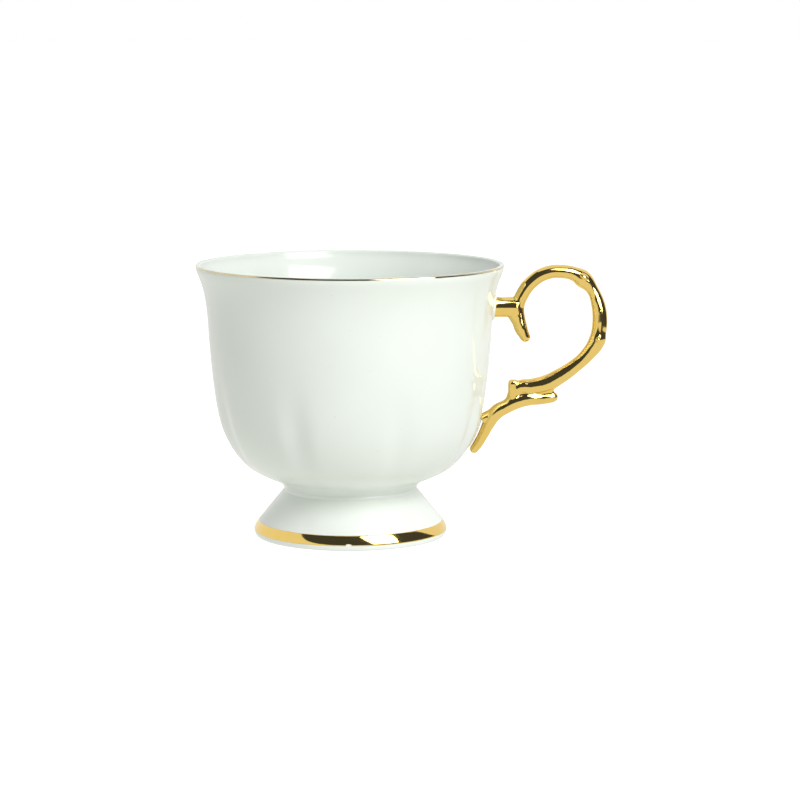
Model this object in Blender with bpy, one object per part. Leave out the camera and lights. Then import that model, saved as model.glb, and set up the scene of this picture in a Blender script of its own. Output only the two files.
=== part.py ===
"""A footed porcelain teacup with a gilded scroll handle, in metres, +Z up, standing on z = 0.

Every piece is modelled round the cup's own upright axis, with the handle towards +X. One empty then
carries them all sideways, so that the origin lies under the middle of the whole cup, handle included.
Outlines are lists of (radius, height). The bowl, the foot and the handle are separate castings that
thin layers of slip hold together, and the gilding lies in shallow rebates.
"""

import math

import bmesh
import bpy
from mathutils import Matrix, Vector
from mathutils.geometry import interpolate_bezier

# Fits
GAP = 0.0003
SLIP_THICKNESS = 0.0006
GILT_THICKNESS = 0.0003
STANDOFF = GAP + SLIP_THICKNESS + GAP

# Bowl, from the rim down
CUP_HEIGHT = 0.0800
RIM_RADIUS = 0.0450
RIM_FLARE = 0.0033
FLARE_DEPTH = 0.0147
BELLY_INSET = 0.0044
BELLY_HEIGHT = 0.3875 * CUP_HEIGHT
NECK_RADIUS = 0.0194
NECK_HEIGHT = 0.0137
LIP_THICKNESS = 0.0018
LIP_CROWN = 0.0007
WALL = 0.0022
FLOOR = 0.0034

# Lobes pressed into the bowl
LOBES = 8
LOBE_DEPTH = 0.0006
LOBE_CREASE = 0.3
LOBE_TOP = 0.725 * CUP_HEIGHT

# Foot, from the neck down
FOOT_RADIUS = 0.0285
FOOT_EDGE_HEIGHT = 0.0022
FOOT_EDGE_ROUND = 0.0008
FOOT_WALL = 0.0029
REST_WIDTH = 0.0018
BAND_BOTTOM = 0.0016
BAND_WIDTH = 0.0028

# Handle
UPPER_JOINT_DROP = 0.16 * CUP_HEIGHT
LOWER_JOINT_HEIGHT = 0.375 * CUP_HEIGHT
HANDLE_REACH = 0.0312
ROD_RADIUS = 0.0020
STUB_HALF_HEIGHT = 0.0032
STUB_HALF_WIDTH = 0.0023
ARM_LANDING = 0.0095
BUD_HALF_LENGTH = 0.0032
BUD_HALF_THICKNESS = 0.0026
SLIP_SPREAD = 0.0005

# Places on the handle, as shares of its reach from the wall and of the rise between its two joints
STUB_END = (0.23, 1.00)
UPPER_BUD = (0.84, 1.22)
LOWER_BUD = (0.975, 0.737)
UPPER_BUD_TILT = math.radians(128)
LOWER_BUD_TILT = math.radians(15)

# Facets
TURNED_STEPS = 48
CROWN_STEPS = 6
EDGE_STEPS = 4
ROD_STEPS_PER_STRETCH = 3
ROD_BEVEL_RESOLUTION = 2
SMOOTH_ANGLE = math.radians(40)

PORCELAIN = (0.86, 0.88, 0.86, 1.0)
GOLD = (0.83, 0.58, 0.20, 1.0)
SLIP_WHITE = (0.88, 0.88, 0.85, 1.0)


def material(name, colour, roughness, metallic):
    made = bpy.data.materials.new(name)
    made.use_nodes = True
    shader = made.node_tree.nodes["Principled BSDF"]
    shader.inputs["Base Color"].default_value = colour
    shader.inputs["Roughness"].default_value = roughness
    shader.inputs["Metallic"].default_value = metallic
    return made


def glazed_porcelain():
    return material("glazed_porcelain", PORCELAIN, 0.08, 0.0)


def bright_gold():
    return material("bright_gold", GOLD, 0.12, 1.0)


def fired_slip():
    return material("fired_slip", SLIP_WHITE, 0.25, 0.0)


def curve_through(stations, steps):
    """Points along a curve through (place, pull before, pull after) stations, each pull a short arrow.

    steps holds the number of facets in each stretch between two stations.
    """
    points = [Vector(stations[0][0])]
    for (start, _, leaving), (end, arriving, _), facets in zip(stations, stations[1:], steps):
        start = Vector(start)
        end = Vector(end)
        stretch = interpolate_bezier(start, start + Vector(leaving), end + Vector(arriving), end, facets + 1)
        points += [Vector(point[:2]) for point in stretch[1:]]
    return points


def moved(outline, distance):
    """The outline moved square to itself: outwards where it rises, inwards where it falls."""
    result = []
    last = len(outline) - 1
    for i, point in enumerate(outline):
        along = (outline[min(i + 1, last)] - outline[max(i - 1, 0)]).normalized()
        result.append(point + distance * Vector((along.y, -along.x)))
    return result


def side_radius():
    return RIM_RADIUS - RIM_FLARE


def side_height():
    return CUP_HEIGHT - FLARE_DEPTH


def lip_height():
    """Top of the bowl's clay: the gilt crown sits above it."""
    return CUP_HEIGHT - LIP_CROWN - GAP


def bowl_outside():
    """From the neck out under the belly, up the side and out to the rim."""
    return curve_through(
        [
            ((NECK_RADIUS, NECK_HEIGHT), None, (0.0013, 0.0056)),
            ((side_radius() - BELLY_INSET, BELLY_HEIGHT), (-0.0069, -0.0163), (0.0031, 0.0072)),
            ((side_radius(), side_height()), (-0.0002, -0.0029), (0.0008, 0.0102)),
            ((RIM_RADIUS, lip_height()), (0.0, -0.0022), None),
        ],
        (11, 6, 5),
    )


def bowl_inside():
    """From the middle of the floor out and up to the lip."""
    belly = side_radius() - BELLY_INSET - WALL
    return curve_through(
        [
            ((0.0, NECK_HEIGHT + FLOOR), None, (0.0150, 0.0)),
            ((belly, BELLY_HEIGHT), (-0.0040, -0.0095), (0.0026, 0.0065)),
            ((side_radius() - WALL, side_height()), (-0.0002, -0.0029), (0.0008, 0.0102)),
            ((RIM_RADIUS - LIP_THICKNESS, lip_height()), (0.0, -0.0022), None),
        ],
        (9, 6, 5),
    )


def wall_radius(height):
    """Outer radius of the bowl at this height, between two points of its outline."""
    outline = bowl_outside()
    for below, above in zip(outline, outline[1:]):
        if height <= above.y:
            break
    return below.x + (above.x - below.x) * (height - below.y) / (above.y - below.y)


def press_lobes(mesh):
    """Draws the bowl in along upright creases, deepest at the belly and gone by LOBE_TOP."""
    for vertex in mesh.vertices:
        radius = math.hypot(vertex.co.x, vertex.co.y)
        share = (vertex.co.z - NECK_HEIGHT) / (LOBE_TOP - NECK_HEIGHT)
        if radius < NECK_RADIUS or not 0.0 < share < 1.0:
            continue
        swell = abs(math.cos(LOBES / 2 * math.atan2(vertex.co.y, vertex.co.x)))
        crease = 1.0 - math.sqrt(swell**2 + LOBE_CREASE**2 * (1.0 - swell**2))
        depth = LOBE_DEPTH * math.sin(math.pi * share) ** 2
        vertex.co.xy *= 1.0 - depth * crease / radius


def new_object(name, mesh, finish=None):
    made = bpy.data.objects.new(name, mesh)
    bpy.context.scene.collection.objects.link(made)
    if finish:
        mesh.materials.append(finish)
        mesh.shade_smooth()
        mesh.set_sharp_from_angle(angle=SMOOTH_ANGLE)
    return made


def hidden(made):
    """Marks a cutter or a building block: it shapes another piece and isn't one itself."""
    made.hide_render = True
    made.display_type = "WIRE"
    return made


def turned_mesh(name, outline, closed=False):
    """Spins an outline round the upright axis. An open outline starts and ends on the axis."""
    shape = bmesh.new()
    corners = [shape.verts.new((point[0], 0.0, point[1])) for point in outline]
    edges = [shape.edges.new(pair) for pair in zip(corners, corners[1:])]
    if closed:
        edges.append(shape.edges.new((corners[-1], corners[0])))
    bmesh.ops.spin(
        shape,
        geom=corners + edges,
        cent=(0.0, 0.0, 0.0),
        axis=(0.0, 0.0, 1.0),
        angle=2.0 * math.pi,
        steps=TURNED_STEPS,
        use_merge=True,
    )
    bmesh.ops.remove_doubles(shape, verts=shape.verts, dist=1e-6)
    bmesh.ops.recalc_face_normals(shape, faces=shape.faces)
    mesh = bpy.data.meshes.new(name)
    shape.to_mesh(mesh)
    shape.free()
    return mesh


def bowl():
    outline = [Vector((0.0, NECK_HEIGHT))] + bowl_outside() + bowl_inside()[::-1]
    mesh = turned_mesh("bowl", outline)
    press_lobes(mesh)
    return new_object("bowl", mesh, glazed_porcelain())


def rim_gilding():
    """A low round-topped ring on the lip."""
    half = LIP_THICKNESS / 2
    base = Vector((RIM_RADIUS - half, CUP_HEIGHT - LIP_CROWN))
    turns = [math.pi * i / CROWN_STEPS for i in range(CROWN_STEPS + 1)]
    outline = [base + Vector((half * math.cos(turn), LIP_CROWN * math.sin(turn))) for turn in turns]
    return new_object("rim_gilding", turned_mesh("rim_gilding", outline, closed=True), bright_gold())


def foot_top():
    return NECK_HEIGHT - STANDOFF


def foot_outside():
    """From the neck down the flare to the widest edge."""
    return curve_through(
        [
            ((NECK_RADIUS, NECK_HEIGHT), None, (0.0026, -0.0029)),
            ((FOOT_RADIUS, FOOT_EDGE_HEIGHT), (-0.0024, 0.0040), None),
        ],
        (12,),
    )


def outline_between(outline, top, bottom):
    """The stretch of a falling outline between two heights, with a point exactly at each."""

    def at(height):
        for above, below in zip(outline, outline[1:]):
            if height >= below.y:
                break
        return above.lerp(below, (above.y - height) / (above.y - below.y))

    inside = [point for point in outline if bottom < point.y < top]
    return [at(top)] + inside + [at(bottom)]


def foot_edge():
    """The rounded lower edge, from the widest point in to the flat that the cup stands on."""
    middle = Vector((FOOT_RADIUS - FOOT_EDGE_ROUND, FOOT_EDGE_HEIGHT))
    turns = [math.pi / 2 * i / EDGE_STEPS for i in range(1, EDGE_STEPS + 1)]
    return [middle + Vector((FOOT_EDGE_ROUND * math.cos(t), -FOOT_EDGE_HEIGHT * math.sin(t))) for t in turns]


def foot_skirt():
    """The whole outside of the foot, from its top face to its resting face."""
    return outline_between(foot_outside(), foot_top(), FOOT_EDGE_HEIGHT) + foot_edge()


def band_heights():
    return BAND_BOTTOM + BAND_WIDTH, BAND_BOTTOM


def pedestal_foot():
    """A hollow flared ring, with a rebate round its edge for the gilt band."""
    top, bottom = band_heights()
    skirt = foot_skirt()
    rebate = moved(outline_between(skirt, top + GAP, bottom - GAP), GILT_THICKNESS + GAP)
    above = outline_between(skirt, foot_top(), top + GAP)
    below = outline_between(skirt, bottom - GAP, 0.0)
    rest = FOOT_RADIUS - FOOT_EDGE_ROUND - REST_WIDTH
    inside = curve_through(
        [
            ((rest, 0.0), None, (-0.0004, 0.0030)),
            ((NECK_RADIUS - FOOT_WALL, foot_top()), (0.0040, -0.0042), None),
        ],
        (8,),
    )
    mesh = turned_mesh("pedestal_foot", above + rebate + below + inside, closed=True)
    return new_object("pedestal_foot", mesh, glazed_porcelain())


def foot_gilding():
    top, bottom = band_heights()
    outer = outline_between(foot_skirt(), top, bottom)
    outline = outer + moved(outer, GILT_THICKNESS)[::-1]
    return new_object("foot_gilding", turned_mesh("foot_gilding", outline, closed=True), bright_gold())


def foot_slip_joint():
    """The ring of slip between the bowl's base and the top of the foot."""
    low = foot_top() + GAP
    high = low + SLIP_THICKNESS
    inner = NECK_RADIUS - FOOT_WALL + SLIP_SPREAD
    outline = [(inner, high), (NECK_RADIUS, high), (NECK_RADIUS, low), (inner, low)]
    return new_object("foot_slip_joint", turned_mesh("foot_slip_joint", outline, closed=True), fired_slip())


def wall_cutter(name, distance):
    """The bowl's outer shape filled in and swollen by a distance: what it cuts keeps that far away."""
    outline = moved(bowl_outside(), distance)
    over_rim = Vector((outline[-1].x, CUP_HEIGHT + distance))
    under_neck = Vector((outline[0].x, NECK_HEIGHT - distance))
    axis_ends = Vector((0.0, under_neck.y)), Vector((0.0, over_rim.y))
    mesh = turned_mesh(name, [axis_ends[0], under_neck] + outline + [over_rim, axis_ends[1]])
    press_lobes(mesh)
    return hidden(new_object(name, mesh))


def rod_mesh(name, stations, width=1.0):
    """A rod along (x, z, thickness) stations, with thickness in rod radii and width a share of that."""
    curve = bpy.data.curves.new(name, "CURVE")
    curve.dimensions = "3D"
    curve.bevel_depth = ROD_RADIUS
    curve.bevel_resolution = ROD_BEVEL_RESOLUTION
    curve.resolution_u = ROD_STEPS_PER_STRETCH
    curve.use_fill_caps = True
    spline = curve.splines.new("BEZIER")
    spline.radius_interpolation = "CARDINAL"
    spline.bezier_points.add(len(stations) - 1)
    for point, (x, z, thickness) in zip(spline.bezier_points, stations):
        point.co = (x, 0.0, z)
        point.radius = thickness
        point.handle_left_type = "AUTO"
        point.handle_right_type = "AUTO"
    holder = bpy.data.objects.new(name, curve)
    mesh = bpy.data.meshes.new_from_object(holder)
    bpy.data.objects.remove(holder)
    shape = bmesh.new()
    shape.from_mesh(mesh)
    bmesh.ops.remove_doubles(shape, verts=shape.verts, dist=1e-6)
    bmesh.ops.scale(shape, vec=(1.0, width, 1.0), verts=shape.verts)
    bmesh.ops.recalc_face_normals(shape, faces=shape.faces)
    shape.to_mesh(mesh)
    shape.free()
    return mesh


def joint_heights():
    return CUP_HEIGHT - UPPER_JOINT_DROP, LOWER_JOINT_HEIGHT


def handle_point(across, up):
    """A place on the handle: across from the wall to the far bend, up from the lower joint to the upper."""
    upper, lower = joint_heights()
    return wall_radius(upper) + across * HANDLE_REACH, lower + up * (upper - lower)


def landing_height(share):
    """Height of a point on the stretch of wall that the arm lies along, from its foot up."""
    return LOWER_JOINT_HEIGHT + (share - 0.5) * ARM_LANDING


def scroll_stations():
    """The C-scroll, from its curled tip over the top, down the back and in to the step."""
    drawn = (
        (0.335, 0.75, 0.40),
        (0.30, 0.78, 0.70),
        (0.25, 0.84, 0.84),
        (0.23, 0.92, 0.94),
        STUB_END + (0.98,),
        (0.27, 1.10, 1.00),
        (0.36, 1.20, 1.00),
        (0.50, 1.27, 1.00),
        (0.65, 1.28, 1.00),
        (0.76, 1.26, 1.08),
        UPPER_BUD + (1.32,),
        (0.925, 1.14, 0.92),
        (0.98, 1.03, 1.04),
        (1.00, 0.90, 1.13),
        (0.99, 0.80, 1.15),
        LOWER_BUD + (1.26,),
        (0.88, 0.62, 1.06),
        (0.77, 0.535, 1.04),
        (0.62, 0.448, 1.19),
        (0.49, 0.392, 1.27),
        (0.36, 0.368, 1.20),
        (0.235, 0.368, 1.10),
        (0.19, 0.34, 1.04),
        (0.185, 0.27, 0.98),
        (0.13, 0.21, 0.98),
    )
    return [handle_point(across, up) + (thickness,) for across, up, thickness in drawn]


def arm_stations():
    """The spur under the step and the arm that runs from it down along the wall."""
    drawn = (
        (0.61, 0.295, 0.50),
        (0.585, 0.288, 0.85),
        (0.52, 0.28, 0.90),
        (0.44, 0.275, 0.94),
        (0.34, 0.275, 1.08),
        (0.235, 0.252, 1.08),
        (0.13, 0.212, 1.07),
        (0.03, 0.162, 1.11),
    )
    free = [handle_point(across, up) + (thickness,) for across, up, thickness in drawn]
    landed = []
    for share, thickness in ((0.75, 0.92), (0.45, 0.74), (0.15, 0.66), (0.0, 0.50)):
        height = landing_height(share)
        landed.append((wall_radius(height) + STANDOFF + thickness * ROD_RADIUS, height, thickness))
    return free + landed


def stub_mesh(name, end, swell=0.0):
    """A short oval bar from inside the wall out to a distance from the axis, at the upper joint."""
    height = joint_heights()[0]
    start = wall_radius(height) - WALL
    thickness = (STUB_HALF_HEIGHT + swell) / ROD_RADIUS
    width = (STUB_HALF_WIDTH + swell) / (STUB_HALF_HEIGHT + swell)
    return rod_mesh(name, [(x, height, thickness) for x in (start, (start + end) / 2, end)], width)


def bud_mesh(name, place, tilt):
    """A bud that swells the scroll, longer along the rod than it is thick."""
    shape = bmesh.new()
    bmesh.ops.create_uvsphere(shape, u_segments=12, v_segments=8, radius=1.0)
    size = Matrix.Diagonal((BUD_HALF_THICKNESS, BUD_HALF_THICKNESS, BUD_HALF_LENGTH, 1.0))
    turn = Matrix.Rotation(tilt, 4, "Y")
    x, z = handle_point(*place)
    centre = Matrix.Translation((x, 0.0, z))
    bmesh.ops.transform(shape, matrix=centre @ turn @ size, verts=shape.verts)
    mesh = bpy.data.meshes.new(name)
    shape.to_mesh(mesh)
    shape.free()
    return mesh


def combine(target, other, operation):
    """Adds a Boolean. A union also sorts out a rod that bends tightly enough to run into itself."""
    step = target.modifiers.new(other.name, "BOOLEAN")
    step.operation = operation
    step.solver = "EXACT"
    step.use_self = operation == "UNION"
    step.object = other


def handle():
    """One casting: scroll, buds, spur, arm and stub, faced off where the slip joins it to the wall."""
    made = new_object("handle", rod_mesh("handle", scroll_stations()), bright_gold())
    blocks = (
        rod_mesh("arm_block", arm_stations()),
        stub_mesh("stub_block", handle_point(*STUB_END)[0]),
        bud_mesh("upper_bud_block", UPPER_BUD, UPPER_BUD_TILT),
        bud_mesh("lower_bud_block", LOWER_BUD, LOWER_BUD_TILT),
    )
    for block in blocks:
        combine(made, hidden(new_object(block.name, block)), "UNION")
    combine(made, wall_cutter("handle_face_cutter", STANDOFF), "DIFFERENCE")
    return made


def slip_pad(name, mesh, inner, outer):
    """What a rod's mesh has in common with a thin layer on the wall."""
    made = new_object(name, mesh, fired_slip())
    combine(made, outer, "INTERSECT")
    combine(made, inner, "DIFFERENCE")
    return made


def handle_slips():
    inner = wall_cutter("slip_inner_cutter", GAP)
    outer = wall_cutter("slip_outer_cutter", GAP + SLIP_THICKNESS)
    upper = stub_mesh("upper_handle_slip", handle_point(*STUB_END)[0], SLIP_SPREAD)
    heights = [landing_height(share) for share in (1.0, 0.75, 0.45, 0.2, 0.1)]
    lower = rod_mesh("lower_handle_slip", [(wall_radius(height), height, 0.75) for height in heights])
    return [
        slip_pad("upper_handle_slip", upper, inner, outer),
        slip_pad("lower_handle_slip", lower, inner, outer),
    ]


def centre_on_origin(pieces):
    """Carries every piece on one empty, so that the origin lies under the middle of the cup."""
    bpy.context.view_layer.update()
    graph = bpy.context.evaluated_depsgraph_get()
    reach = [corner[0] for piece in pieces for corner in piece.evaluated_get(graph).bound_box]
    carrier = bpy.data.objects.new("cup_axis", None)
    bpy.context.scene.collection.objects.link(carrier)
    carrier.location.x = -(min(reach) + max(reach)) / 2
    for made in bpy.context.scene.objects:
        if made.type == "MESH":
            made.parent = carrier


for old in list(bpy.data.objects):
    bpy.data.objects.remove(old)
pieces = [bowl(), rim_gilding(), pedestal_foot(), foot_gilding(), foot_slip_joint(), handle()]
pieces += handle_slips()
centre_on_origin(pieces)
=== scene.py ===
import math

import bpy
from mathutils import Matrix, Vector
from mathutils.geometry import interpolate_bezier


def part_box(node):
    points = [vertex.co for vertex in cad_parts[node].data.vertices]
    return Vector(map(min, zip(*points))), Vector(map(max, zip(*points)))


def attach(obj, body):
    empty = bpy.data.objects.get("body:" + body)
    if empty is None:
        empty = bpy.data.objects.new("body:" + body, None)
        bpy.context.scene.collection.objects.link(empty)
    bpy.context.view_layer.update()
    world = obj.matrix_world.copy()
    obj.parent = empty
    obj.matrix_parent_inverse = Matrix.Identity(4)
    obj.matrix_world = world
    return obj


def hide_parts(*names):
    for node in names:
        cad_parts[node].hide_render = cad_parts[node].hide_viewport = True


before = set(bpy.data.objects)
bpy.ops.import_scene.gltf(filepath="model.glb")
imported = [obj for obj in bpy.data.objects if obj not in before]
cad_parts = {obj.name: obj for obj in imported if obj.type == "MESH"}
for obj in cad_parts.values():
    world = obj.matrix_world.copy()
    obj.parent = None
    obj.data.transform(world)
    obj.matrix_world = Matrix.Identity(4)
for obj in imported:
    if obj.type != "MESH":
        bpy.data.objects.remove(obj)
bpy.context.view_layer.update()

# ---- The bowl ----
# A footed cup's bowl in white porcelain, jiggered in a plaster mould that gives it eight soft lobes low
# down and a flared lip. Its glaze is clear and glossy, over a slightly cool white body.

low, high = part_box("bowl")
CUP_AXIS = (low.x + high.x) / 2
CUP_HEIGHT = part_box("rim_gilding")[1].z
RIM_RADIUS = high.y
NECK_RADIUS = 0.0194
NECK_HEIGHT = low.z
SIDE = (RIM_RADIUS - 0.0033, CUP_HEIGHT - 0.0147)
BELLY = (RIM_RADIUS - 0.0077, 0.0310)
LIP_THICKNESS = 0.0015
LIP_ROUND = 0.0006
WALL = 0.0022
BOWL_FLOOR = NECK_HEIGHT + 0.0034
TURNED_SEGMENTS = 96
BOWL_SEGMENTS = 160
LOBES = 8
LOBE_DEPTH = 0.0009
LOBE_TOP = 0.0520
LOBE_CREASE = 0.6


def outline_through(stations, counts):
    """Points on a curve through (place, pull before, pull after) stations, each as (radius, height)."""
    points = [Vector(stations[0][0])]
    for (start, _, leaving), (end, arriving, _), count in zip(stations, stations[1:], counts):
        start = Vector(start)
        end = Vector(end)
        stretch = interpolate_bezier(start, start + Vector(leaving), end + Vector(arriving), end, count + 1)
        points += [Vector(point[:2]) for point in stretch[1:]]
    return points


def turned(name, outline, closed=False, segments=TURNED_SEGMENTS):
    """Grows a ring along an outline of (radius, height), as on a lathe. An open one ends in two poles."""
    bpy.ops.object.select_all(action="DESELECT")
    first = outline[0]
    bpy.ops.mesh.primitive_circle_add(
        vertices=segments,
        radius=first[0],
        fill_type="NOTHING" if closed else "TRIFAN",
        location=(CUP_AXIS, 0.0, first[1]),
    )
    made = bpy.context.object
    made.name = name
    made.data.name = name
    bpy.ops.object.transform_apply(location=True, rotation=False, scale=False)
    bpy.ops.object.mode_set(mode="EDIT")
    bpy.ops.mesh.select_mode(type="EDGE")
    bpy.ops.mesh.select_all(action="SELECT")
    if not closed:
        bpy.ops.mesh.region_to_loop()
    for before, after in zip(outline, outline[1:]):
        bpy.ops.mesh.extrude_edges_move(
            TRANSFORM_OT_translate={"value": (0.0, 0.0, after[1] - before[1])}
        )
        growth = after[0] / before[0]
        bpy.ops.transform.resize(
            value=(growth, growth, 1.0), center_override=(CUP_AXIS, 0.0, after[1])
        )
    if closed:
        bpy.ops.mesh.select_all(action="DESELECT")
        bpy.ops.mesh.select_non_manifold()
        bpy.ops.mesh.bridge_edge_loops()
    else:
        bpy.ops.mesh.edge_face_add()
        bpy.ops.mesh.poke()
    bpy.ops.mesh.select_all(action="SELECT")
    bpy.ops.mesh.remove_doubles(threshold=1e-7)
    bpy.ops.mesh.normals_make_consistent(inside=False)
    bpy.ops.object.mode_set(mode="OBJECT")
    return made


def apply_modifier(made, kind, **settings):
    bpy.ops.object.select_all(action="DESELECT")
    made.select_set(True)
    bpy.context.view_layer.objects.active = made
    step = made.modifiers.new(kind.lower(), kind)
    for name, value in settings.items():
        setattr(step, name, value)
    bpy.ops.object.modifier_apply(modifier=step.name)


def rounded(made):
    """Subdivides a piece into its smooth final surface."""
    apply_modifier(made, "SUBSURF", levels=1, render_levels=1)
    bpy.ops.object.shade_smooth()


def press_lobes(made):
    """Draws the clay in along upright creases, deepest at the belly and gone at the neck and LOBE_TOP."""
    outer = made.vertex_groups.new(name="outer_creases")
    inner = made.vertex_groups.new(name="inner_creases")
    for vertex in made.data.vertices:
        x = vertex.co.x - CUP_AXIS
        y = vertex.co.y
        share = (vertex.co.z - NECK_HEIGHT) / (LOBE_TOP - NECK_HEIGHT)
        if math.hypot(x, y) < NECK_RADIUS or not 0.0 < share < 1.0:
            continue
        swell = abs(math.cos(LOBES / 2 * math.atan2(y, x)))
        crease = 0.5 + 0.5 * math.cos(math.pi * min(1.0, swell / LOBE_CREASE))
        faces_out = vertex.normal.x * x + vertex.normal.y * y > 0.0
        group = outer if faces_out else inner
        group.add([vertex.index], crease * math.sin(math.pi * share) ** 2, "REPLACE")
    for group, strength in ((outer, -LOBE_DEPTH), (inner, LOBE_DEPTH)):
        apply_modifier(made, "DISPLACE", vertex_group=group.name, strength=strength, mid_level=0.0)


class Wire:
    """A socket of one material's nodes. Arithmetic on it adds Math nodes."""

    def __init__(self, recipe, socket):
        self.recipe = recipe
        self.socket = socket

    def math(self, operation, *values):
        return self.recipe.add("ShaderNodeMath", {"operation": operation}, dict(enumerate(values)))

    def __add__(self, other):
        return self.math("ADD", self, other)

    def __radd__(self, other):
        return self.math("ADD", other, self)

    def __mul__(self, other):
        return self.math("MULTIPLY", self, other)

    def __rmul__(self, other):
        return self.math("MULTIPLY", other, self)


class Recipe:
    """A material under construction, round its Principled shader."""

    def __init__(self, name, **uniform):
        self.material = bpy.data.materials.new(name)
        self.material.use_nodes = True
        self.tree = self.material.node_tree
        self.shader = self.tree.nodes["Principled BSDF"]
        for label, value in uniform.items():
            self.shader.inputs[label.replace("_", " ")].default_value = value

    def add(self, kind, settings=None, inputs=None, output=0):
        """A node of this type, with its settings, then the values or wires of its sockets."""
        node = self.tree.nodes.new(kind)
        for name, value in (settings or {}).items():
            if name == "stops":
                self.set_stops(node.color_ramp, value)
            else:
                setattr(node, name, value)
        for name, value in (inputs or {}).items():
            self.feed(node.inputs[name], value)
        return Wire(self, node.outputs[output])

    def set_stops(self, ramp, stops):
        while len(ramp.elements) < len(stops):
            ramp.elements.new(1.0)
        for element, (place, value) in zip(ramp.elements, stops):
            element.position = place
            element.color = (value, value, value, 1.0)

    def feed(self, socket, value):
        if isinstance(value, Wire):
            self.tree.links.new(value.socket, socket)
        else:
            socket.default_value = value

    def noise(self, place, scale, detail):
        return self.add("ShaderNodeTexNoise", inputs={"Vector": place, "Scale": scale, "Detail": detail})

    def ramp(self, value, *stops):
        return self.add("ShaderNodeValToRGB", {"stops": stops}, {"Fac": value})

    def blend(self, factor, first, second):
        """A colour mixed between two, through the Mix node's colour sockets."""
        colours = {0: factor, 6: first, 7: second}
        return self.add("ShaderNodeMix", {"data_type": "RGBA"}, colours, output=2)

    def surface(self, **varying):
        for label, value in varying.items():
            self.feed(self.shader.inputs[label.replace("_", " ")], value)


POOL_SHADE = 0.975
PINHOLE_BROWN = (0.45, 0.40, 0.34, 1.0)


def glazed_porcelain(name, tint):
    """Clear glaze on a white body: faint pooling, a slow waviness in the gloss, a few tiny pinholes."""
    recipe = Recipe(
        name,
        IOR=1.5,
        Coat_Weight=0.5,
        Coat_Roughness=0.03,
        Coat_IOR=1.5,
        Specular_IOR_Level=0.15,
    )
    place = recipe.add("ShaderNodeTexCoord", output=3)
    pooling = recipe.noise(place, scale=45.0, detail=3.0)
    grains = recipe.noise(place, scale=900.0, detail=1.0)
    pinholes = recipe.ramp(grains, (0.0, 0.0), (0.76, 0.0), (0.80, 1.0))
    pools = recipe.ramp(pooling, (0.35, 0.0), (0.7, 1.0))
    body = recipe.blend(pools, tint, [channel * POOL_SHADE for channel in tint[:3]] + [1.0])
    waviness = recipe.noise(place, scale=130.0, detail=2.0)
    relief = recipe.add(
        "ShaderNodeBump", inputs={"Strength": 0.05, "Distance": 0.0005, "Height": waviness}
    )
    recipe.surface(
        Base_Color=recipe.blend(pinholes * 0.15, body, PINHOLE_BROWN),
        Roughness=0.32 + 0.1 * pooling,
        Normal=relief,
    )
    return recipe.material


def finish(made, material, slot, *nodes):
    """Gives a piece its material, fixes it to the cup and lets it stand for its CAD nodes."""
    made.data.materials.clear()
    made.data.materials.append(material)
    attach(made, "root")
    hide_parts(*nodes)


PORCELAIN_WHITE = (0.78, 0.83, 0.775, 1.0)
porcelain = glazed_porcelain("clear_glaze_on_porcelain", PORCELAIN_WHITE)

bowl_outside = outline_through(
    [
        ((NECK_RADIUS, NECK_HEIGHT), None, (0.0013, 0.0056)),
        (BELLY, (-0.0069, -0.0163), (0.0031, 0.0072)),
        (SIDE, (-0.0002, -0.0029), (0.0008, 0.0102)),
        ((RIM_RADIUS, CUP_HEIGHT - LIP_ROUND), (0.0, -0.0022), None),
    ],
    (16, 9, 8),
)
bowl_inside = outline_through(
    [
        ((0.0004, BOWL_FLOOR), None, (0.0146, 0.0)),
        ((BELLY[0] - WALL, BELLY[1]), (-0.0040, -0.0095), (0.0026, 0.0065)),
        ((SIDE[0] - WALL, SIDE[1]), (-0.0002, -0.0029), (0.0008, 0.0102)),
        ((RIM_RADIUS - LIP_THICKNESS, CUP_HEIGHT - LIP_ROUND), (0.0, -0.0022), None),
    ],
    (14, 9, 8),
)


def lip_arc(start, end, steps, swell=0.0):
    """Part of the lip's round top, from outside (0 degrees) to inside (180 degrees)."""
    middle = Vector((RIM_RADIUS - LIP_THICKNESS / 2, CUP_HEIGHT - LIP_ROUND))
    turns = [math.radians(start + (end - start) * step / steps) for step in range(steps + 1)]
    half = LIP_THICKNESS / 2 + swell
    rise = LIP_ROUND + swell
    return [middle + Vector((half * math.cos(turn), rise * math.sin(turn))) for turn in turns]


UNDERSIDE_DISH = ((0.0004, 0.0006), (0.0060, 0.0006), (0.0120, 0.0005), (0.0160, 0.0002), (0.0187, 0.0))
underside = [Vector((radius, NECK_HEIGHT + rise)) for radius, rise in UNDERSIDE_DISH]
bowl = turned(
    "bowl_body",
    underside + bowl_outside + lip_arc(start=22, end=158, steps=6) + bowl_inside[::-1],
    segments=BOWL_SEGMENTS,
)
press_lobes(bowl)
rounded(bowl)
finish(bowl, porcelain, "porcelain_glaze", "bowl")

# ---- The gilt rim ----
# A hairline of bright gold, painted with a brush on the turning lip and fired on. It follows the round
# of the lip, and is so thin that it looks greyer than the rest of the gold.

GILT_FILM = 0.00006
RIM_LINE_TURN = (0, 60)
RIM_LINE_STEPS = 8
GOLD_DEEP = (0.79, 0.545, 0.14, 1.0)
GOLD_PALE = (0.84, 0.61, 0.195, 1.0)
THIN_GOLD_DEEP = (0.50, 0.44, 0.28, 1.0)
THIN_GOLD_PALE = (0.70, 0.62, 0.43, 1.0)


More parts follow.
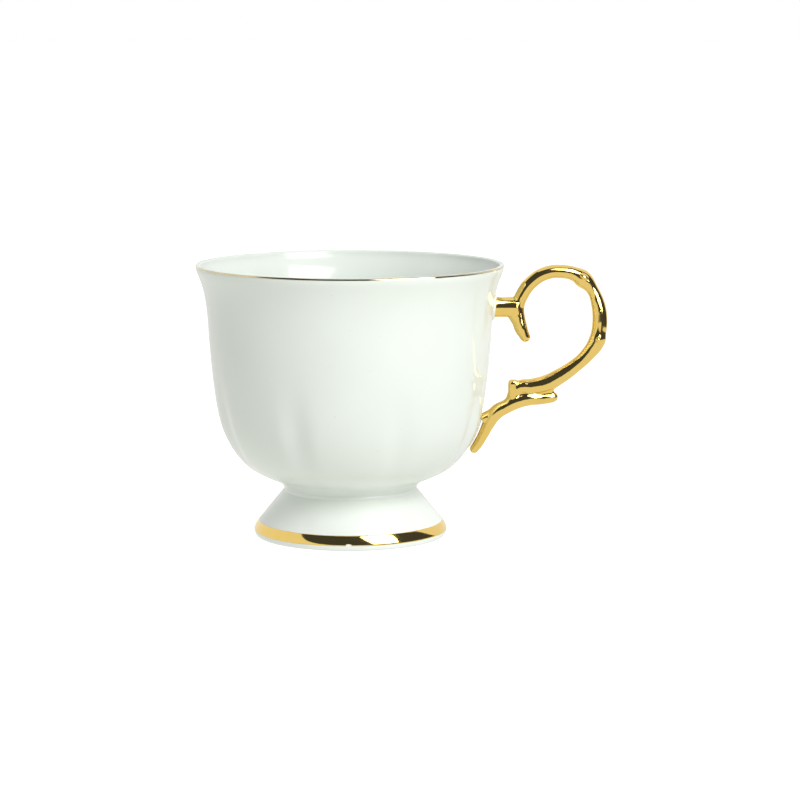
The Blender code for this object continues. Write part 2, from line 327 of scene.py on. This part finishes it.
def bright_gold(name, deep, pale):
    """Fired liquid gold: a mirror with faint brush streaks, thinner places and slight relief."""
    recipe = Recipe(name, Metallic=1.0)
    place = recipe.add("ShaderNodeTexCoord", output=3)
    clouds = recipe.noise(place, scale=160.0, detail=3.0)
    brushed = recipe.add("ShaderNodeMapping", inputs={"Vector": place, "Scale": (300.0, 300.0, 2500.0)})
    streaks = recipe.noise(brushed, scale=1.0, detail=2.0)
    relief = recipe.add(
        "ShaderNodeBump", inputs={"Strength": 0.06, "Distance": 0.0003, "Height": clouds}
    )
    recipe.surface(
        Base_Color=recipe.blend(clouds, deep, pale),
        Roughness=0.05 + 0.05 * streaks,
        Normal=relief,
    )
    return recipe.material


gold = bright_gold("fired_bright_gold", GOLD_DEEP, GOLD_PALE)
thin_gold = bright_gold("thin_bright_gold", THIN_GOLD_DEEP, THIN_GOLD_PALE)
rim_face = lip_arc(*RIM_LINE_TURN, RIM_LINE_STEPS, GILT_FILM)
rim_back = lip_arc(*RIM_LINE_TURN, RIM_LINE_STEPS)
rim_line = turned("rim_gold_line", rim_face + rim_back[::-1], closed=True)
rounded(rim_line)
finish(rim_line, thin_gold, "bright_gold", "rim_gilding")

# ---- The foot ----
# A hollow flared pedestal in the same porcelain, cast on its own and stuck under the bowl. It has a
# rounded lower edge and a narrow flat ring to stand on.

FOOT_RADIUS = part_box("pedestal_foot")[1].y
FOOT_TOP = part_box("pedestal_foot")[1].z
FOOT_EDGE = (FOOT_RADIUS, 0.0018)
FOOT_EDGE_ROUND = 0.0008
FOOT_WALL = 0.0029
REST_WIDTH = 0.0018
REST_EASE = 0.0002
CORNER_EASE = 0.0003
# The foot's white is a lighter copy of the bowl's porcelain white. This is painted light: it brightens the
# flare, which the bowl shades from the key light.
FOOT_PAINTED_LIGHT_WHITE = (0.855, 0.90, 0.85, 1.0)

foot_flare = outline_through(
    [
        ((NECK_RADIUS, NECK_HEIGHT), None, (0.0026, -0.0029)),
        ((FOOT_RADIUS - 0.0015, 0.0045), (-0.0015, 0.0018), (0.0008, -0.00096)),
        (FOOT_EDGE, (-0.0001, 0.0006), None),
    ],
    (14, 8),
)
foot_edge = [
    Vector((
        FOOT_RADIUS - FOOT_EDGE_ROUND + FOOT_EDGE_ROUND * math.cos(turn),
        FOOT_EDGE[1] - FOOT_EDGE[1] * math.sin(turn),
    ))
    for turn in (math.radians(step) for step in (20, 40, 60, 75, 85))
]
foot_skirt = foot_flare + foot_edge
rest_edge = FOOT_RADIUS - FOOT_EDGE_ROUND
foot_hollow = outline_through(
    [
        ((rest_edge - REST_WIDTH, 0.0001), None, (-0.0004, 0.0030)),
        ((NECK_RADIUS - FOOT_WALL, FOOT_TOP), (0.0040, -0.0042), None),
    ],
    (10,),
)
foot_base = [
    Vector((rest_edge - REST_EASE, 0.0)),
    Vector((rest_edge - REST_WIDTH + CORNER_EASE, 0.0)),
]
foot_top = [
    Vector((NECK_RADIUS - FOOT_WALL + CORNER_EASE, NECK_HEIGHT)),
    Vector((NECK_RADIUS - CORNER_EASE, NECK_HEIGHT)),
]
foot = turned("pedestal_foot_body", foot_skirt + foot_base + foot_hollow + foot_top, closed=True)
rounded(foot)
# A lighter copy of the bowl's glaze, as painted light on the foot.
foot_porcelain_painted_light = glazed_porcelain("clear_glaze_on_foot_painted_light", FOOT_PAINTED_LIGHT_WHITE)
finish(foot, foot_porcelain_painted_light, "porcelain_glaze", "pedestal_foot")

# ---- The gilt band ----
# A band of the same gold, brushed round the foot just above its edge, with one nick in its lower side.
# White shows below it.

BAND_HEIGHTS = (0.0044, 0.0016)
NICK_TILT = 11
NICK_HALF_SIZES = (0.0008, 0.0008, 0.0006)


def stretch_of(outline, top, bottom):
    """The part of a falling outline between two heights."""

    def at(height):
        for above, below in zip(outline, outline[1:]):
            if height >= below.y:
                break
        return above.lerp(below, (above.y - height) / (above.y - below.y))

    return [at(top)] + [point for point in outline if bottom < point.y < top] + [at(bottom)]


def moved(outline, distance):
    """The outline moved square to itself."""
    result = []
    last = len(outline) - 1
    for i, point in enumerate(outline):
        along = (outline[min(i + 1, last)] - outline[max(i - 1, 0)]).normalized()
        result.append(point + distance * Vector((along.y, -along.x)))
    return result


def lump(name, place, tilt, half_sizes):
    """A rounded lump, leaning to the right by tilt degrees."""
    bpy.ops.object.select_all(action="DESELECT")
    bpy.ops.mesh.primitive_uv_sphere_add(
        segments=48,
        ring_count=28,
        radius=1.0,
        location=place,
        rotation=(0.0, math.radians(tilt), 0.0),
    )
    made = bpy.context.object
    made.name = name
    made.scale = half_sizes
    bpy.ops.object.transform_apply(location=True, rotation=True, scale=True)
    return made


band_line = stretch_of(foot_skirt, *BAND_HEIGHTS)
band_back = moved(band_line, -GILT_FILM)
band_face = moved(band_line, GILT_FILM)
band = turned("foot_gold_band", band_back + band_face[::-1], closed=True)
rounded(band)
nick = lump("nick", (CUP_AXIS, -FOOT_RADIUS, BAND_HEIGHTS[1]), NICK_TILT, NICK_HALF_SIZES)
apply_modifier(band, "BOOLEAN", operation="DIFFERENCE", object=nick)
bpy.data.objects.remove(nick)
finish(band, gold, "bright_gold", "foot_gilding")

# ---- The slip under the bowl ----
# The bowl and the foot are stuck together with a ring of liquid clay, wiped to a small fillet before
# firing and glazed over.

FILLET = ((-0.0016, -0.0010), (0.0006, -0.0008), (0.00015, 0.0), (0.0003, 0.0010), (-0.0016, 0.0010))
fillet_outline = [Vector((NECK_RADIUS + outward, NECK_HEIGHT + rise)) for outward, rise in FILLET]
neck_slip = turned("foot_joint_fillet", fillet_outline, closed=True)
rounded(neck_slip)
# The fillet under the bowl takes the foot's lighter glaze, with the same painted light.
finish(neck_slip, foot_porcelain_painted_light, "fired_slip", "foot_slip_joint")

# ---- The handle ----
# A C-scroll with two buds, a curled tip, a stepped spur and a curved arm, gilded all over. It was cast
# in one piece and stuck to the bowl at two places.

UPPER_JOINT = CUP_HEIGHT - 0.0128
LOWER_JOINT = 0.0300
HANDLE_REACH = 0.0312
ROD_RADIUS = 0.0020
ARM_LANDING = 0.0095
LANDING_STANDOFF = 0.0009
STUB_SINK = 0.0004
STUB_FLATTENING = 0.76
CASTING_VOXEL = 0.00018
CASTING_SMOOTHING = 24


def wall_radius(height):
    """Outer radius of the bowl at this height."""
    for below, above in zip(bowl_outside, bowl_outside[1:]):
        if height <= above.y:
            break
    return below.x + (above.x - below.x) * (height - below.y) / (above.y - below.y)


def on_handle(across, up):
    """A place on the handle: across from the wall to the bend, up from the lower joint to the upper."""
    return (
        CUP_AXIS + wall_radius(UPPER_JOINT) + across * HANDLE_REACH,
        LOWER_JOINT + up * (UPPER_JOINT - LOWER_JOINT),
    )


def middle_of(across, up):
    """The same place on the handle's middle plane."""
    x, z = on_handle(across, up)
    return (x, 0.0, z)


def along_handle(stations):
    """Turns (across, up, thickness) stations into (x, z, thickness) ones."""
    return [on_handle(across, up) + (thickness,) for across, up, thickness in stations]


def rod(name, stations, width=1.0):
    """A round rod drawn through (x, z, thickness) stations, as a closed mesh. width is its flattening."""
    bpy.ops.object.select_all(action="DESELECT")
    bpy.ops.curve.primitive_bezier_curve_add(location=(0.0, 0.0, 0.0))
    made = bpy.context.object
    made.name = name
    made.data.dimensions = "3D"
    made.data.bevel_depth = ROD_RADIUS
    made.data.bevel_resolution = 6
    made.data.resolution_u = 10
    made.data.use_fill_caps = True
    spline = made.data.splines[0]
    spline.radius_interpolation = "CARDINAL"
    spline.bezier_points.add(len(stations) - len(spline.bezier_points))
    for point, (x, z, thickness) in zip(spline.bezier_points, stations):
        point.co = (x, 0.0, z)
        point.radius = thickness
        point.handle_left_type = "AUTO"
        point.handle_right_type = "AUTO"
    bpy.ops.object.convert(target="MESH")
    made = bpy.context.object
    bpy.ops.object.mode_set(mode="EDIT")
    bpy.ops.mesh.select_all(action="SELECT")
    bpy.ops.mesh.remove_doubles(threshold=1e-7)
    bpy.ops.transform.resize(value=(1.0, width, 1.0), center_override=(0.0, 0.0, 0.0))
    bpy.ops.mesh.normals_make_consistent(inside=False)
    bpy.ops.object.mode_set(mode="OBJECT")
    return made


def block(name, left_bottom, right_top, half_depth, edge):
    """A block with rounded edges between two places on the handle."""
    bpy.ops.object.select_all(action="DESELECT")
    left, bottom = on_handle(*left_bottom)
    right, top = on_handle(*right_top)
    middle = ((left + right) / 2, 0.0, (bottom + top) / 2)
    bpy.ops.mesh.primitive_cube_add(size=1.0, location=middle)
    made = bpy.context.object
    made.name = name
    made.scale = (right - left, 2 * half_depth, top - bottom)
    bpy.ops.object.transform_apply(location=True, rotation=True, scale=True)
    bpy.ops.object.mode_set(mode="EDIT")
    bpy.ops.mesh.select_all(action="SELECT")
    bpy.ops.mesh.bevel(offset=edge, segments=5, affect="EDGES")
    bpy.ops.object.mode_set(mode="OBJECT")
    return made


scroll = [
    (0.296, 0.770, 0.80), (0.261, 0.832, 1.00), (0.238, 0.915, 1.00), (0.230, 1.00, 0.97),
    (0.27, 1.10, 1.00), (0.36, 1.20, 1.00), (0.50, 1.27, 1.00), (0.65, 1.28, 1.00), (0.76, 1.26, 1.08),
    (0.84, 1.22, 1.32), (0.925, 1.14, 0.92), (0.98, 1.03, 1.04), (1.00, 0.90, 1.13), (0.99, 0.80, 1.15),
    (0.975, 0.737, 1.26), (0.88, 0.62, 1.06), (0.77, 0.535, 1.04), (0.62, 0.448, 1.19), (0.49, 0.392, 1.27),
    (0.36, 0.370, 1.18), (0.255, 0.364, 1.06), (0.200, 0.32, 0.96), (0.185, 0.27, 0.98), (0.13, 0.21, 0.98),
]
arm = [
    (0.571, 0.287, 0.80), (0.52, 0.281, 0.88), (0.44, 0.275, 0.94), (0.34, 0.275, 1.08),
    (0.235, 0.252, 1.08), (0.13, 0.212, 1.07), (0.03, 0.162, 1.11),
]
landing = []
for share, thickness in ((0.75, 0.92), (0.45, 0.80), (0.15, 0.74), (0.0, 0.68)):
    height = LOWER_JOINT + (share - 0.5) * ARM_LANDING
    reach = wall_radius(height) + LANDING_STANDOFF + thickness * ROD_RADIUS
    landing.append((CUP_AXIS + reach, height, thickness))
stub_start = CUP_AXIS + wall_radius(UPPER_JOINT) - STUB_SINK
stub_end = on_handle(0.23, 1.00)[0]
stub = [
    (stub_start + share * (stub_end - stub_start), UPPER_JOINT, thickness)
    for share, thickness in ((0.0, 1.60), (0.10, 1.54), (0.30, 1.50), (0.6, 1.50), (1.0, 1.56))
]
gusset = [(0.14, 1.00, 0.84), (0.19, 0.94, 0.90), (0.245, 0.865, 0.88)]
arm_root = [(0.10, 0.205, 0.85), (-0.01, 0.150, 0.84), (-0.105, 0.105, 0.86)]

castings = [
    rod("scroll", along_handle(scroll)),
    rod("arm", along_handle(arm) + landing),
    rod("stub", stub, width=STUB_FLATTENING),
    rod("gusset", along_handle(gusset)),
    rod("arm_root", along_handle(arm_root)),
    lump("curl_tip", middle_of(0.301, 0.764), 0, (0.00155, 0.00155, 0.00155)),
    lump("spur_tip", middle_of(0.571, 0.287), 0, (0.0013, 0.0015, 0.0015)),
    lump("landing_tip", (landing[-1][0], 0.0, landing[-1][1]), 0, (0.00136, 0.00136, 0.00136)),
    lump("upper_bud", middle_of(0.84, 1.22), 128, (0.0026, 0.0026, 0.0034)),
    lump("lower_bud", middle_of(0.975, 0.737), 15, (0.0025, 0.0025, 0.0032)),
    block("step", (0.142, 0.250), (0.24, 0.426), half_depth=0.0019, edge=0.0010),
    block("web", (0.19, 0.295), (0.572, 0.362), half_depth=0.0013, edge=0.0004),
]
bpy.ops.object.select_all(action="DESELECT")
for casting in castings:
    casting.select_set(True)
bpy.context.view_layer.objects.active = castings[0]
bpy.ops.object.join()
handle = bpy.context.object
handle.name = "scroll_handle"
handle.data.name = "scroll_handle"
apply_modifier(handle, "REMESH", mode="VOXEL", voxel_size=CASTING_VOXEL, adaptivity=0.0)
apply_modifier(handle, "SMOOTH", factor=0.5, iterations=CASTING_SMOOTHING)
beads = [
    lump("upper_bead", middle_of(0.844, 1.242), 122, (0.0013, 0.0031, 0.0021)),
    lump("lower_bead", middle_of(0.982, 0.748), 15, (0.0012, 0.0031, 0.0015)),
]
for bead in beads:
    apply_modifier(handle, "BOOLEAN", operation="UNION", object=bead)
    bpy.data.objects.remove(bead)
bpy.ops.object.select_all(action="DESELECT")
handle.select_set(True)
bpy.ops.object.shade_smooth()
finish(handle, gold, "bright_gold", "handle")

# ---- The slip at the handle's ends ----
# Pads of the same liquid clay between the handle and the wall, squeezed out a little all round and
# glazed white with the bowl.


def slip_pad(name, height, half_height, half_width, thickness):
    """A flat pad that leans with the wall."""
    lower = wall_radius(height - half_height)
    upper = wall_radius(height + half_height)
    lean = math.atan2(upper - lower, 2 * half_height)
    bpy.ops.object.select_all(action="DESELECT")
    bpy.ops.mesh.primitive_uv_sphere_add(
        segments=48,
        ring_count=24,
        radius=1.0,
        location=(CUP_AXIS + (lower + upper) / 2, 0.0, height),
        rotation=(0.0, lean, 0.0),
    )
    made = bpy.context.object
    made.name = name
    made.data.name = name
    made.scale = (thickness, half_width, half_height)
    bpy.ops.object.transform_apply(location=True, rotation=True, scale=True)
    bpy.ops.object.shade_smooth()
    return made


LOWER_PAD_RISE = 0.0004
upper_pad = slip_pad(
    "upper_slip_pad", UPPER_JOINT, half_height=0.0040, half_width=0.0030, thickness=0.0008
)
finish(upper_pad, porcelain, "fired_slip", "upper_handle_slip")
lower_pad = slip_pad(
    "lower_slip_pad",
    LOWER_JOINT + LOWER_PAD_RISE,
    half_height=0.0056,
    half_width=0.0021,
    thickness=0.0011,
)
finish(lower_pad, porcelain, "fired_slip", "lower_handle_slip")

# ---- The studio ----
# A white table in a white room, a soft box close by on the right, two soft lights, and a dark curtain
# in front, which gives the gold its dark lines.

WHITE = (1.0, 1.0, 1.0, 1.0)
BLACK = (0.0, 0.0, 0.0, 1.0)
PAPER_WHITE = (1.0, 1.0, 0.96, 1.0)
TABLE_SIZE = 12.0
TABLE_MIDDLE = (0.0, 4.0, 0.0)


def glowing(name, colour, emission):
    """An even glow that takes no light from anything else."""
    recipe = Recipe(
        name,
        Base_Color=BLACK,
        Roughness=1.0,
        Specular_IOR_Level=0.0,
        Emission_Color=colour,
        Emission_Strength=emission,
    )
    return recipe.material


def sheet(name, emission, size, drop):
    """A round sheet of white paper under the table's face."""
    bpy.ops.object.select_all(action="DESELECT")
    bpy.ops.mesh.primitive_circle_add(
        vertices=96, radius=size, fill_type="NGON", location=(0.0, 0.0, -drop)
    )
    made = bpy.context.object
    made.name = name
    made.data.materials.append(glowing(name, PAPER_WHITE, emission))
    return made


bpy.ops.object.select_all(action="DESELECT")
bpy.ops.mesh.primitive_plane_add(size=TABLE_SIZE, location=TABLE_MIDDLE)
floor = bpy.context.object
floor.name = "table"
table = Recipe(
    "white_table",
    Base_Color=(0.8, 0.8, 0.8, 1.0),
    Roughness=0.7,
    Emission_Color=WHITE,
    Emission_Strength=0.62,
)
floor.data.materials.append(table.material)
floor.visible_diffuse = False
floor.visible_glossy = False
bounce = sheet("table_bounce", emission=0.94, size=6.0, drop=0.0010)
bounce.visible_camera = False
bounce.visible_glossy = False
sheen = sheet("table_sheen", emission=0.96, size=3.0, drop=0.0005)
sheen.visible_camera = False
sheen.visible_diffuse = False

world = bpy.data.worlds.new("white_room")
bpy.context.scene.world = world
world.use_nodes = True
room = world.node_tree
backdrop = room.nodes["Background"]
ROOM_SEEN = 1.0
ROOM_FILL = 0.41
ray = room.nodes.new("ShaderNodeLightPath")
strength = room.nodes.new("ShaderNodeMapRange")
strength.inputs["To Min"].default_value = ROOM_SEEN
strength.inputs["To Max"].default_value = ROOM_FILL
room.links.new(ray.outputs["Is Diffuse Ray"], strength.inputs["Value"])
room.links.new(strength.outputs["Result"], backdrop.inputs["Strength"])
backdrop.inputs["Color"].default_value = WHITE


def soft_box(name, place, target, size, radiance):
    """An evenly bright panel turned towards its target."""
    bpy.ops.object.light_add(type="AREA", location=place)
    made = bpy.context.object
    made.name = name
    made.data.shape = "RECTANGLE"
    made.data.size, made.data.size_y = size
    made.data.energy = radiance * math.pi * size[0] * size[1]
    made.rotation_euler = (Vector(target) - Vector(place)).to_track_quat("-Z", "Y").to_euler()
    made.visible_camera = False
    return made


BOX_PLACE = (CUP_AXIS + 0.125, -0.139, 0.147)
BOX_TARGET = (CUP_AXIS + 0.003, -0.035, 0.017)
BOX_SIZE = (0.128, 0.188)
BOX_ROLL = -4.0
CUP_MIDDLE = (0.0, 0.0, 0.04)
box_glint = soft_box("soft_box_glint", BOX_PLACE, BOX_TARGET, BOX_SIZE, radiance=8.0)
box_glint.rotation_euler.rotate_axis("Z", math.radians(BOX_ROLL))
box_glint.visible_diffuse = False
key = soft_box("soft_light", (0.367, -0.524, 0.54), CUP_MIDDLE, size=(0.4, 0.4), radiance=8.9)
key.visible_glossy = False
top = soft_box("top_light", (0.10, -0.12, 0.70), CUP_MIDDLE, size=(0.5, 0.5), radiance=1.1)
top.visible_glossy = False

CURTAIN_RADIUS = 0.35
CURTAIN_TOP = 72.0
CURTAIN_HEM = 6.0
CURTAIN_COLOUR = (0.060, 0.068, 0.100, 1.0)


def in_curtain(place):
    """Whether the cloth covers this place: narrow at its hem, and further to the left higher up."""
    x, y, z = place / CURTAIN_RADIUS
    azimuth = math.degrees(math.atan2(x, -y))
    elevation = math.degrees(math.asin(max(-1.0, min(1.0, z))))
    left = 28.0 if elevation < CURTAIN_HEM else -12.0 - 1.46 * elevation
    right = 118.0 - 0.4 * elevation
    return 0.0 < elevation < CURTAIN_TOP and left < azimuth < right


bpy.ops.object.select_all(action="DESELECT")
bpy.ops.mesh.primitive_uv_sphere_add(
    segments=360, ring_count=180, radius=CURTAIN_RADIUS, location=(0.0, 0.0, 0.0)
)
curtain = bpy.context.object
curtain.name = "dark_curtain"
bpy.ops.object.mode_set(mode="EDIT")
bpy.ops.mesh.select_mode(type="FACE")
bpy.ops.mesh.select_all(action="DESELECT")
bpy.ops.object.mode_set(mode="OBJECT")
for polygon in curtain.data.polygons:
    polygon.select = not in_curtain(polygon.center)
bpy.ops.object.mode_set(mode="EDIT")
bpy.ops.mesh.delete(type="FACE")
bpy.ops.object.mode_set(mode="OBJECT")
curtain.data.materials.append(glowing("dark_cloth", CURTAIN_COLOUR, 1.0))
curtain.visible_camera = False
curtain.visible_diffuse = False
curtain.visible_shadow = False

CAMERA_DIP = 8.24
camera_data = bpy.data.cameras.new("camera")
camera = bpy.data.objects.new("camera", camera_data)
bpy.context.scene.collection.objects.link(camera)
camera.location = (-0.0006, -0.8, 0.1556)
camera.rotation_euler = (math.radians(90 - CAMERA_DIP), 0.0, 0.0)
camera_data.lens = 123.75
camera_data.sensor_width = 36.0
camera_data.clip_start = 0.01
bpy.context.scene.camera = camera
bpy.context.scene.view_settings.view_transform = "Standard"
